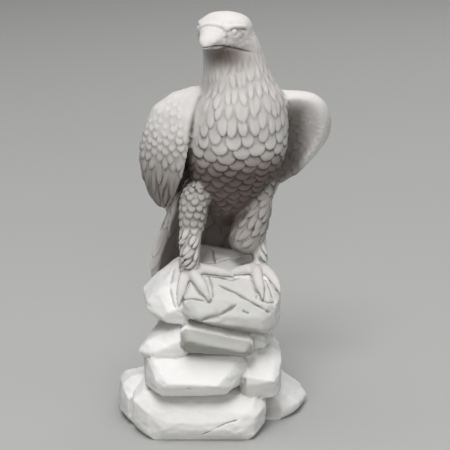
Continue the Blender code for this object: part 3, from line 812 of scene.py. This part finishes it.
# %% Carve the crease
CREASE_WIDTH = 4.5 * MM
CREASE_DEPTH = 3.0 * MM


def crease_at(points, width):
    """The crease's strength: 1 low on its line, less near the neck, and 0 away from it."""
    fading = 1 - 0.7 * ramp(points[:, 2], WING_CREASE[4, 2], WING_CREASE[0, 2])
    return groove_depth(from_path(points, WING_CREASE), width) * fading


relief -= crease_at(bird_points, CREASE_WIDTH) * CREASE_DEPTH
print("deepest mark", round(relief.min() / MM, 2), "mm")

# %% [markdown]
# ## Toes and claws
# An eagle's toes carry hard plates in a row, like a caterpillar's rings. On this casting they are
# worn down to almost nothing, and the claws are smooth. A shallow wave along the longest axis of
# each toe gives what is left of the rings.

# %% Rings on the toes
RING = 4.2 * MM
RING_HEIGHT = 0.10 * MM


def long_axis(points):
    """The direction in which points are spread the most."""
    centred = points - points.mean(axis=0)
    return np.linalg.svd(centred[:: max(1, len(points) // 2000)], full_matrices=False)[2][0]


toes = [node for node in bird_nodes if node.startswith("toe")]
for node in toes:
    mask = bird_part == bird_nodes.index(node)
    toe_points = bird_points[mask]
    run = (toe_points - toe_points.mean(axis=0)) @ long_axis(toe_points)
    wave = np.abs(np.sin(run * math.pi / RING))
    relief[mask] += (np.sqrt(wave) - 0.7) * RING_HEIGHT
print(len(toes), "toes")

# %% [markdown]
# ## Where the painted shade lies
# The bird is painted darker where shade falls: under the bill, at the height of the eyes, low on
# the breast and the right wing, along the crease, and in the hollows of the left wing and the tail.
# Each part also starts from its own share of it, most on the thighs and the flight feathers. The
# painted shade is broad and soft, so a number at each vertex is fine enough for it. The tail's
# hollow is sunk here too, as it is where its painted shade is.

# %% Painted shade and hollow
# How much painted shade each part starts with.
PART_SHADE = {
    "head": 0.02, "bill": 0.0, "neck": 0.08, "trunk": 0.2, "thigh_right": 0.5, "thigh_left": 0.56,
    "shank": 0.15, "toe": 0.0, "claw": 0.0, "wing": 0.04, "flight": 0.4, "tail": 0.05,
}
SHADE_ROUNDS = 20
# The inner line of the tail's thick right rim: across the tail, and up, from its lowest corner.
TAIL_RIM = np.array(((14, 20, 30, 37, 46), (20, 50, 82, 110, 137))) * MM
TAIL_HOLLOW = 4 * MM


def hollow_of_tail(points, normals):
    """1 where the tail is cupped, behind its rim, on the side that faces ahead."""
    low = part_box("tail")[0]
    rim = np.interp(points[:, 2] - low.z, TAIL_RIM[1], TAIL_RIM[0]) + low.x
    return ramp(points[:, 0], rim, rim + 12 * MM) * ramp(-normals[:, 1], 0.0, 0.4)


def throat_of(points, normals):
    """1 under the bill, where a painted shadow falls on the neck."""
    up = along_head(points)[:, 2]
    throat = ramp(-up, 16 * MM, 26 * MM) * (1 - ramp(-up, 42 * MM, 74 * MM))
    throat *= groove_depth(points[:, 0] - middle("bill_lower").x - 15 * MM, 41 * MM)
    facing = np.where(
        on_parts("neck"), ramp(-normals[:, 1], 0.0, 0.6), ramp(-normals[:, 2], 0.1, 0.6)
    )
    return throat * facing


turned_ahead = ramp(-bird_normals[:, 1], -0.4, 0.2)
belly = (1 - ramp(share_of("trunk", 2), 0.38, 0.62)) * turned_ahead
low_wing = (1 - ramp(share_of("wing_right", 2), 0.15, 0.8)) * (0.4 + 0.6 * turned_ahead)
wing_hollow = 1 - ramp(share_of("wing_left", 0), 0.58, 0.72)
wing_hollow *= 1 - ramp(share_of("wing_left", 2), 0.80, 0.95)
wing_hollow *= bird_normals[:, 1] < 0.2
tail_hollow = hollow_of_tail(bird_points, bird_normals) * on_parts("tail")
# Painted shade under the brow, at the height of the eyes.
ahead, _, up = along_head(bird_points).T
eye_hollow = groove_depth(np.hypot(ahead * 0.8, up + 1 * MM), 8 * MM)
# Painted shade: the crease, the belly, the low right wing, the hollows, the throat and the eyes are
# darkened where shade falls on them.
painted_shade = by_node(bird_part, bird_nodes, PART_SHADE, 0.3) + 0.6 * crease_at(bird_points, 6 * MM)
for amount, place, parts in (
    (0.86, belly, ("trunk",)),
    (0.72, low_wing, ("wing_right",)),
    (0.68, wing_hollow, ("wing_left",)),
    (0.85, tail_hollow, ("tail",)),
    (0.95, throat_of(bird_points, bird_normals), ("neck", "head", "bill_lower")),
    (0.40, eye_hollow, ("head",)),
):
    painted_shade += amount * place * on_parts(*parts)
painted_shade = np.clip(bird_spread.soften(painted_shade, SHADE_ROUNDS), 0, 1)
write_values(bird.data, "painted_shade", painted_shade)
relief -= tail_hollow * TAIL_HOLLOW
print("mean stain on the bird", round(float(painted_shade.mean()), 2))

# %% [markdown]
# ## Pushing the skin out
# So far the relief is only a number for each vertex. Now each vertex moves along its normal by that
# number, less the feathers' mean height, so that the bird doesn't grow. How far the relief lies
# below its surroundings is kept, as the wash and the painted shade settle in such grooves.

# %% Push the bird's skin out
MEAN_LIFT = 0.5
LIFT_ROUNDS = 10
GROOVE_ROUNDS = 30
FULL_GROOVE = 1.1 * MM


def finish_skin(obj, relief, lift, fine):
    """Pushes a skin along its normals by the relief and keeps its grooves as an attribute."""
    points = points_of(obj.data)
    normals = normals_of(obj.data)
    spread = Spread(obj.data)
    soft = spread.soften(relief, 2, 0.35)
    move_points(obj.data, points + normals * (soft - lift + fine)[:, None])
    broad = spread.soften(soft, GROOVE_ROUNDS)
    write_values(obj.data, "groove", np.clip((broad - soft) / FULL_GROOVE, -1, 1))


lift = bird_spread.soften(sizes[:, 2] * MEAN_LIFT, LIFT_ROUNDS)
# Small unevenness from casting and weather.
fine = (lumps(bird_points, 16 * MM, 21) * 0.35 + lumps(bird_points, 5 * MM, 22) * 0.13) * MM
finish_skin(bird, relief, lift, fine)
print("highest lift", round(float(lift.max()) / MM, 2), "mm")

# %% [markdown]
# ## Fewer faces where nothing happens
# The carving needs a fine net everywhere, but the finished skin doesn't. The collapse decimator
# keeps edges where the shape turns, so the feathers stay crisp, and a calm plane or an inner side
# can do with far fewer faces.

# %% Thin the bird's skin out
SKIN_FACES = 196000


def thin_out(obj):
    """Collapses a net of quads where it is calm, to about SKIN_FACES triangles."""
    triangles = 2 * len(obj.data.polygons)
    ratio = min(1.0, SKIN_FACES / triangles)
    apply_modifier(obj, "DECIMATE", ratio=ratio, use_collapse_triangulate=True)
    print(obj.name, triangles, "triangles thinned to", len(obj.data.polygons))


thin_out(bird)

# %% [markdown]
# ## Breaking the rocks
# The slabs are broad planes with blunt, chipped edges, thin cracks and a pitted face. The relief
# is built from lumps at falling sizes, edges worn where the skin bulges, joints deepened where it
# dips, and cracks cut along paths. A groove also runs round each toe and claw.

# %% Relief of the rocks
rock_points = points_of(rocks.data)
rock_normals = normals_of(rocks.data)
rock_spread = Spread(rocks.data)


# Width and depth, then the points of the path one after another, each across, back and up from
# the perch's lowest corner, all in millimetres.
CRACKS = (
    (2.6, 5.0, (
        61, 37, 99, 76, 32, 93, 93, 27, 87, 114, 19, 77, 130, 13, 69, 147, 11, 59, 168, 28, 41,
    )),
    (3.4, 6.0, (12, 14, 33, 30, 7, 42, 43, 1, 49, 58, 2, 54, 71, 5, 58, 84, 9, 65, 98, 14, 72)),
    (6.0, 6.5, (20, 9, 40, 32, 5, 45, 45, 1, 50, 58, 2, 54, 71, 5, 58)),
    (3.0, 3.0, (104, 8, 63, 110, 7, 60, 116, 7, 58)),
    (2.4, 3.5, (-8, 36, 71, 8, 23, 76, 22, 16, 80, 40, 15, 77, 46, 14, 75)),
    (2.6, 3.5, (38, 13, 73, 51, 13, 74, 56, 21, 84, 55, 34, 96, 50, 45, 108, 46, 52, 112)),
    (4.0, 3.0, (-8, 98, 107, -14, 64, 95, -14, 44, 82, -10, 32, 69, 0, 20, 52)),
    (2.2, 5.0, (56, 165, 117, 58, 127, 116, 61, 95, 113)),
    (2.4, 4.5, (36, 98, 115, 51, 97, 114, 63, 103, 114, 78, 119, 113, 90, 129, 111, 108, 143, 109)),
    (2.2, 3.5, (96, 106, 110, 114, 120, 108, 136, 130, 104)),
    (2.4, 4.0, (108, 63, 119, 118, 64, 117, 124, 49, 114, 127, 33, 103, 129, 28, 91, 127, 20, 76)),
    (2.4, 3.4, (141, 50, 105, 149, 38, 91, 156, 27, 76)),
    (2.2, 3.0, (40, 47, 111, 58, 47, 109, 74, 45, 106, 89, 43, 103, 106, 50, 106)),
    (2.4, 3.4, (146, 68, 113, 158, 46, 99, 166, 44, 80)),
    (2.2, 3.0, (135, 20, 78, 147, 17, 73, 160, 25, 71)),
    (1.4, 2.0, (10, -28, -61, 27, -28, -65, 41, -28, -67, 60, -29, -65)),
    (2.0, 2.6, (30, -27, -151, 55, -28, -136, 75, -26, -126, 102, -23, -118)),
)
CRACK_REACH = 14 * MM
FOOT_REACH = 8 * MM
BULGE_ROUNDS = 30


def carve_cracks(points):
    """The depth of all the cracks, uneven along the way and running out at the ends."""
    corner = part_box("rock_perch")[0]
    uneven = 0.8 + 0.4 * lumps(points, 9 * MM, 31)
    depth = np.zeros(len(points))
    for width, deep, steps in CRACKS:
        path = placed(corner, np.reshape(steps, (-1, 3)))
        low, high = path.min(axis=0) - CRACK_REACH, path.max(axis=0) + CRACK_REACH
        near = np.all((points > low) & (points < high), axis=1)
        whole = path[-1] - path[0]
        run = (points[near] - path[0]) @ whole / (whole @ whole)
        taper = ramp(run, -0.03, 0.14) * ramp(1 - run, -0.03, 0.14)
        breadth = width * uneven[near] * (0.4 + 0.6 * taper) * MM
        fall = groove_depth(from_path(points[near], path), breadth)
        depth[near] = np.maximum(depth[near], fall * taper * deep * MM)
    return depth


def carve_footprints(points):
    """The depth of the groove that runs round each toe and claw."""
    feet = [node for node in bird_nodes if node.startswith(("toe", "claw"))]
    tree = tree_over([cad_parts[node].data for node in feet])[0]
    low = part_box("rock_perch")[0].z
    near = np.flatnonzero((points[:, 2] > low + 30 * MM) & (points[:, 1] < 50 * MM))
    gaps = [tree.find_nearest(point, FOOT_REACH)[3] for point in points[near].tolist()]
    gaps = np.array([FOOT_REACH if gap is None else gap for gap in gaps])
    depth = np.zeros(len(points))
    depth[near] = groove_depth(gaps - 1.0 * MM, 2.2 * MM) * 2.4 * MM
    return depth


broad = rock_spread.soften(rock_points, BULGE_ROUNDS)
bulge = np.sum((rock_points - broad) * rock_normals, axis=1)
joint = np.clip(-bulge / (1.6 * MM), 0, 1)
chipped = np.clip(bulge / (1.5 * MM), 0, 1) * ramp(lumps(rock_points, 11 * MM, 8), 0.1, 0.6)
pits = ramp(lumps(rock_points, 4.2 * MM, 11), 0.55, 0.85)
pits *= ramp(lumps(rock_points, 26 * MM, 12), 0.1, 0.5)
rough = lumps(rock_points, 34 * MM, 5) * 1.6
rough += lumps(rock_points * (1, 1, 2.2), 15 * MM, 6) * 0.9
rough += lumps(rock_points, 6 * MM, 7) * 0.35
rock_relief = (rough - chipped * 1.6 - joint * 3.0 - pits * 0.5) * MM
rock_relief -= carve_cracks(rock_points) + carve_footprints(rock_points)
print("deepest", round(rock_relief.min() / MM, 2), "and highest", round(rock_relief.max() / MM, 2))

# %% [markdown]
# ## Painting shade on the rocks and standing them up
# The steep faces are painted darker than the tops, as shade, most of all on the upper slab ahead.
# The underside has to stay flat, so the relief starts a little above it. Then the rocks are pushed
# out and thinned in the same way as the bird.

# %% Finish the rocks
# Painted shade: steep faces, and the faces that look ahead on these two rocks, are darkened as they
# lie in shade.
SHADED_FACES = {"slab_upper_front": 0.88, "rock_perch": 0.4}
STEEP_SHADE = 0.15

rock_part = nearest_nodes(rock_points, rock_nodes)
steep = 1 - ramp(rock_normals[:, 2], 0.1, 0.7)
face_on = ramp(-rock_normals[:, 1], 0.2, 0.7)
darker = by_node(rock_part, rock_nodes, SHADED_FACES, 0.0)
write_values(rocks.data, "painted_shade", rock_spread.soften(STEEP_SHADE * steep + darker * face_on, 6))
standing = ramp(rock_points[:, 2], 1 * MM, 6 * MM)
finish_skin(rocks, rock_relief * standing, 0.0, 0.0)
thin_out(rocks)

# %% [markdown]
# ## The eyes
# Each eye is a plain ball under the brow, without a drilled pupil. A sphere from rings and
# segments is enough, as the lids in the skin hide its rim.

# %% Eyeballs
EYE_SINK = 1.2 * MM


def eyeball(node):
    """A smooth ball in the place of the faceted one, sunk a little deeper behind its lids."""
    low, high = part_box(node)
    inwards = (middle("head") - middle(node)).normalized()
    shape = bmesh.new()
    bmesh.ops.create_uvsphere(shape, u_segments=48, v_segments=32, radius=(high.z - low.z) / 2)
    ball = object_from(node + "_ball", shape)
    ball.data.transform(Matrix.Translation(middle(node) + inwards * EYE_SINK))
    ball.data.polygons.foreach_set("use_smooth", [True] * len(ball.data.polygons))
    return ball


eyes = {node: eyeball(node) for node in eye_nodes}
print("eyes", [round(ball.dimensions.z / MM, 1) for ball in eyes.values()], "mm across")

# %% [markdown]
# ## Cast stone
# The stone is pale and matt, with fine sand in it. Broad patches and specks of sand vary its
# colour, a painted shade darkens it where shade falls, and over all of them lies a dark brown wash
# in grooves and sheltered places, which paints their shade too. One function makes the stone of the
# bird and of the rocks, from three colours each. Noise in the object's own space needs no picture,
# and the measured numbers put the wash and the painted shade where the shape says.

# %% Stone material
GROOVE_SPAN = 0.7


def stone(name, light, shade_colour, wash_and_shade, wash_and_shade_amount, groove_from):
    """A matt cast stone, painted darker as shade where its shade attribute is high, and with a wash
    and painted shade in grooves.
    """
    material = bpy.data.materials.new(name)
    material.use_nodes = True
    nodes = material.node_tree.nodes
    links = material.node_tree.links
    surface = nodes["Principled BSDF"]
    surface.inputs["Roughness"].default_value = 0.9
    surface.inputs["Specular IOR Level"].default_value = 0.25
    place = nodes.new("ShaderNodeTexCoord").outputs["Object"]

    def add(kind, output, inputs, **settings):
        """One output of a new node, whose inputs are numbers or other nodes' outputs."""
        node = nodes.new("ShaderNode" + kind)
        for setting, value in settings.items():
            setattr(node, setting, value)
        for socket, value in inputs.items():
            if isinstance(value, bpy.types.NodeSocket):
                links.new(value, node.inputs[socket])
            else:
                node.inputs[socket].default_value = value
        return node.outputs[output]

    def noise(scale, detail=3.0):
        return add("TexNoise", "Fac", {"Vector": place, "Scale": scale, "Detail": detail})

    def remap(value, *numbers):
        inputs = dict(zip(("From Min", "From Max", "To Min", "To Max"), numbers), Value=value)
        return add("MapRange", "Result", inputs, interpolation_type="SMOOTHSTEP")

    def combine(kind, first, second):
        return add("Math", "Value", {0: first, 1: second}, operation=kind)

    def attribute(attribute_name):
        return add("Attribute", "Fac", {}, attribute_name=attribute_name)

    def tint(amount, base, colour):
        inputs = {"Factor": amount, "A": base, "B": (*colour, 1)}
        return add("Mix", "Result", inputs, data_type="RGBA")

    # Wash and painted shade: sheltered places and grooves are darkened towards the wash colour.
    sheltered = remap(attribute("shelter"), 0.10, 0.55, 0.0, 0.95)
    grooved = remap(attribute("groove"), groove_from, groove_from + GROOVE_SPAN, 0.0, 1.0)
    patchy = remap(noise(28.0), 0.35, 0.65, 0.72, 1.0)
    low_places = combine("MAXIMUM", sheltered, grooved)
    washed_and_shaded = combine("MULTIPLY", combine("MULTIPLY", low_places, patchy), wash_and_shade_amount)
    specks = remap(noise(900.0, 1.0), 0.62, 0.75, 0.0, 0.22)
    patches = remap(noise(14.0), 0.3, 0.75, 0.0, 0.5)
    pale = tint(patches, (*light, 1), tuple(value * 0.88 for value in light))
    pale = tint(specks, pale, tuple(value * 0.55 for value in light))
    # Painted shade, where the shade attribute is high.
    pale = tint(attribute("painted_shade"), pale, shade_colour)
    links.new(tint(washed_and_shaded, pale, wash_and_shade), surface.inputs["Base Color"])

    grain = combine("ADD", noise(700.0, 4.0), noise(160.0, 3.0))
    bump = add("Bump", "Normal", {"Strength": 0.35, "Distance": 0.6 * MM, "Height": grain})
    links.new(bump, surface.inputs["Normal"])
    return material


STONES = {
    # the stone, its painted shade, its wash that also paints shade in hollows, how strong that is,
    # and where grooves begin
    "bird_stone": ((0.81, 0.79, 0.77), (0.165, 0.135, 0.118), (0.065, 0.052, 0.044), 0.92, -0.15),
    "rock_stone": ((0.90, 0.895, 0.88), (0.355, 0.355, 0.325), (0.26, 0.25, 0.21), 0.75, 0.1),
}
bird_stone, rock_stone = (stone(name, *row) for name, row in STONES.items())
print("materials", bird_stone.name, rock_stone.name)

# %% Dress the pieces
def dress(obj, material, nodes):
    """Gives a piece its material, slot and body, and hides the solids it stands for."""
    obj.data.materials.clear()
    obj.data.materials.append(material)
    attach(obj, "root")
    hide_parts(*nodes)


dress(bird, bird_stone, bird_nodes)
dress(rocks, rock_stone, rock_nodes)
for node, ball in eyes.items():
    dress(ball, bird_stone, [node])
print("dressed", [obj.name for obj in (bird, rocks, *eyes.values())])

# %% [markdown]
# ## Floor, lights and camera
# The statue stands in a plain studio, in light like that of a dull day: a key light from above
# and ahead, a wide sky light, a low front light that fills what the slabs shade, and a weak back
# light. The camera is a long lens at some distance, looking down a little.

# %% Floor
FLOOR_SIZE = 12.0

shape = bmesh.new()
bmesh.ops.create_grid(shape, x_segments=1, y_segments=1, size=FLOOR_SIZE)
floor = object_from("floor", shape)
floor_paint = bpy.data.materials.new("floor_paint")
floor_paint.use_nodes = True
paint = floor_paint.node_tree.nodes["Principled BSDF"].inputs
paint["Base Color"].default_value = (0.44, 0.44, 0.43, 1)
paint["Roughness"].default_value = 0.9
floor.data.materials.append(floor_paint)
print("floor", floor.name)

# %% Lights
LIGHTS = {
    # place, size in metres, power in watts and colour
    "key": ((-0.9, -3.6, 6.1), 2.4, 185, (1.0, 0.985, 0.97)),
    "sky": ((0.1, -0.3, 6.4), 5.6, 270, (0.985, 0.99, 1.0)),
    "front": ((0.3, -6.2, 2.4), 3.4, 95, (1.0, 1.0, 1.0)),
    "back": ((1.8, 3.6, 2.6), 2.6, 22, (1.0, 1.0, 1.0)),
}
LIGHT_AIM = Vector((0, 0, 0.4))

for name, (place, size, power, colour) in LIGHTS.items():
    data = bpy.data.lights.new(name, "AREA")
    data.shape = "SQUARE"
    data.size = size
    data.energy = power
    data.color = colour
    light = new_object(name, data)
    light.location = place
    light.rotation_euler = (LIGHT_AIM - Vector(place)).to_track_quat("-Z", "Y").to_euler()
world = bpy.data.worlds.new("studio")
world.use_nodes = True
background = world.node_tree.nodes["Background"].inputs
background["Color"].default_value = (0.82, 0.84, 0.86, 1)
background["Strength"].default_value = 0.14
bpy.context.scene.world = world
bpy.context.scene.view_settings.view_transform = "Standard"
print(len(LIGHTS), "lights of", sum(row[2] for row in LIGHTS.values()), "W in all")

# %% Camera
CAMERA_DISTANCE = 2.6
CAMERA_RISE = math.radians(18)
AIM_HEIGHT = 0.345
# The camera stands straight ahead of a point beside the left eye.
EYE_ASIDE = 0.03028
EYE_AHEAD = 0.05673

camera_data = bpy.data.cameras.new("camera")
camera_data.sensor_width = 36
camera_data.lens = 123.17
camera_data.shift_x = 0.0222
camera_data.shift_y = -0.01444
camera = new_object("camera", camera_data)
camera.location = (
    middle("eye_left").x - EYE_ASIDE,
    middle("eye_left").y + EYE_AHEAD - CAMERA_DISTANCE * math.cos(CAMERA_RISE),
    AIM_HEIGHT + CAMERA_DISTANCE * math.sin(CAMERA_RISE),
)
camera.rotation_euler = (math.pi / 2 - CAMERA_RISE, 0, 0)
bpy.context.scene.camera = camera
print("camera at", [round(value, 3) for value in camera.location])
